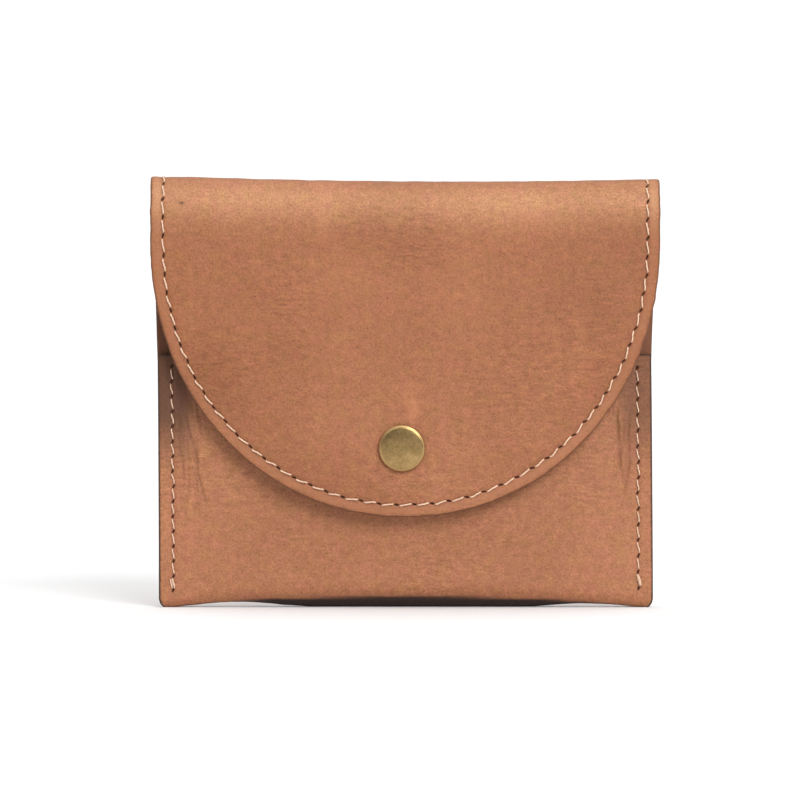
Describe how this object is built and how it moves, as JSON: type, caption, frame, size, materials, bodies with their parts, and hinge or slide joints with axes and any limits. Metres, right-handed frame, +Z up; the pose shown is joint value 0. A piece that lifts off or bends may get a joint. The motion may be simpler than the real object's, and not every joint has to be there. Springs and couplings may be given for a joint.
{
  "type": "coin purse",
  "caption": "Leather coin purse: a sewn pocket with a rounded flap that turns over its folded top edge and closes on a press snap.",
  "frame": {"origin": "centre of the bounding box, on the ground", "axes": "+Z up; the front, with the flap and snap, faces -Y; +X to the right seen from the front"},
  "size_m": [0.114, 0.021, 0.0968],
  "materials": {
    "leather": "tan vegetable-tanned leather, satin, lightly grained",
    "lining": "thin matte leather",
    "thread": "waxed twisted thread, cream",
    "antique_brass": "antique brass, brushed satin",
    "spring_steel": "bright wire"
  },
  "bodies": {
    "pocket": {"body_leather": "leather", "back_lining": "lining", "left_seam_back_thread": "thread", "left_seam_front_thread": "thread", "left_seam_inner_thread": "thread", "right_seam_back_thread": "thread", "right_seam_front_thread": "thread", "right_seam_inner_thread": "thread", "snap_stud": "antique_brass", "snap_eyelet": "antique_brass"},
    "top_fold": {"top_fold_leather": "leather", "top_fold_lining": "lining", "left_fold_stitch": "thread", "right_fold_stitch": "thread"},
    "flap": {"flap_leather": "leather", "flap_lining": "lining", "flap_face_thread": "thread", "flap_back_thread": "thread", "snap_cap": "antique_brass", "snap_socket": "antique_brass", "snap_spring": "spring_steel"}
  },
  "joints": [
    {"name": "fold_hinge", "type": "hinge", "parent": "pocket", "child": "top_fold", "pos_m": [0, 0.00747, 0.09423], "axis": [-1, 0, 0], "range_deg": [0, 90]},
    {"name": "flap_hinge", "type": "hinge", "parent": "top_fold", "child": "flap", "pos_m": [0, 0.00001, 0.09423], "axis": [-1, 0, 0], "range_deg": [0, 90]}
  ],
  "couplings": [
    {"joint": "flap_hinge", "follows": "fold_hinge", "ratio": 1}
  ]
}
